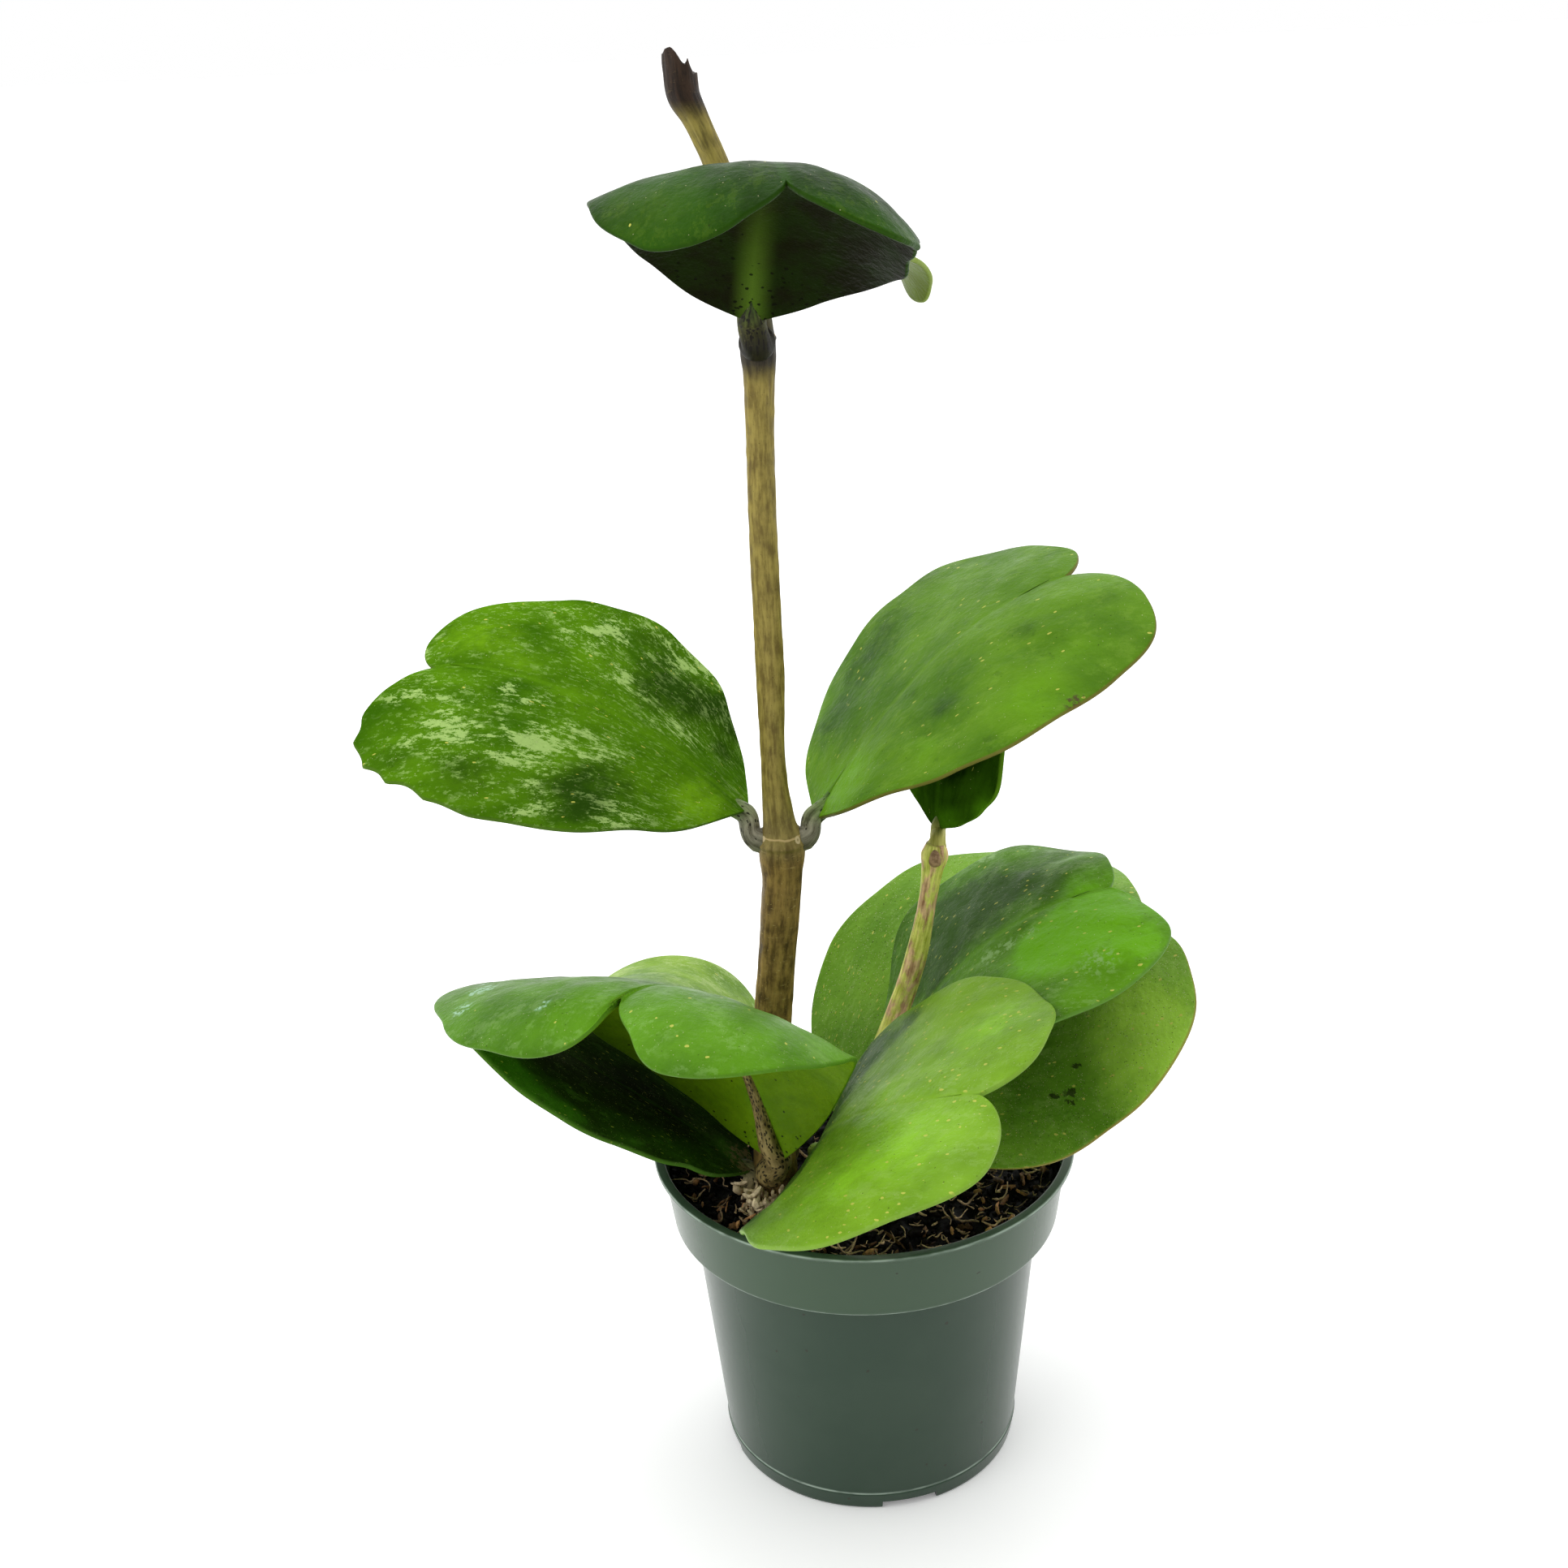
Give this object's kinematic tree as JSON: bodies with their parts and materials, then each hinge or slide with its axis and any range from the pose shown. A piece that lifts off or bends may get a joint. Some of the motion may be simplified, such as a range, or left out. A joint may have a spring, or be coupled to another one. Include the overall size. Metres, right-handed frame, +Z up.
{
  "type": "potted hoya plant",
  "caption": "Potted heart-leaf hoya: two upright stems with thick, gently waved heart-shaped leaves, standing in dark bark mix in a round tapered nursery pot.",
  "frame": {"origin": "middle of the pot's foot, on the surface that it stands on", "axes": "+Z up along the main stem, -Y towards the front, +X to the right as seen from the front"},
  "size_m": [0.189, 0.1798, 0.34],
  "materials": {
    "pot_plastic": "satin moulded plastic",
    "potting_mix": "dark crumbly bark mix",
    "old_stem": "olive brown bark with pale flecks",
    "young_stem": "green brown skin",
    "leaf_deep_green": "waxy, satin gloss",
    "leaf_mid_green": "waxy, satin gloss",
    "leaf_mottled": "waxy, with pale flecks",
    "leaf_lime": "waxy, satin gloss"
  },
  "bodies": {
    "root": {"pot": "pot_plastic", "soil": "potting_mix", "main_stem": "old_stem", "side_stem": "young_stem", "leaf_top_front": "leaf_deep_green", "leaf_top_back": "leaf_mid_green", "leaf_mid_left": "leaf_mottled", "leaf_mid_right": "leaf_mid_green", "leaf_side_tip": "leaf_deep_green", "leaf_left_arched": "leaf_mid_green", "leaf_left_low": "leaf_deep_green", "leaf_left_back": "leaf_mottled", "leaf_right_front": "leaf_deep_green", "leaf_right_back": "leaf_deep_green", "leaf_front": "leaf_lime"}
  },
  "joints": []
}
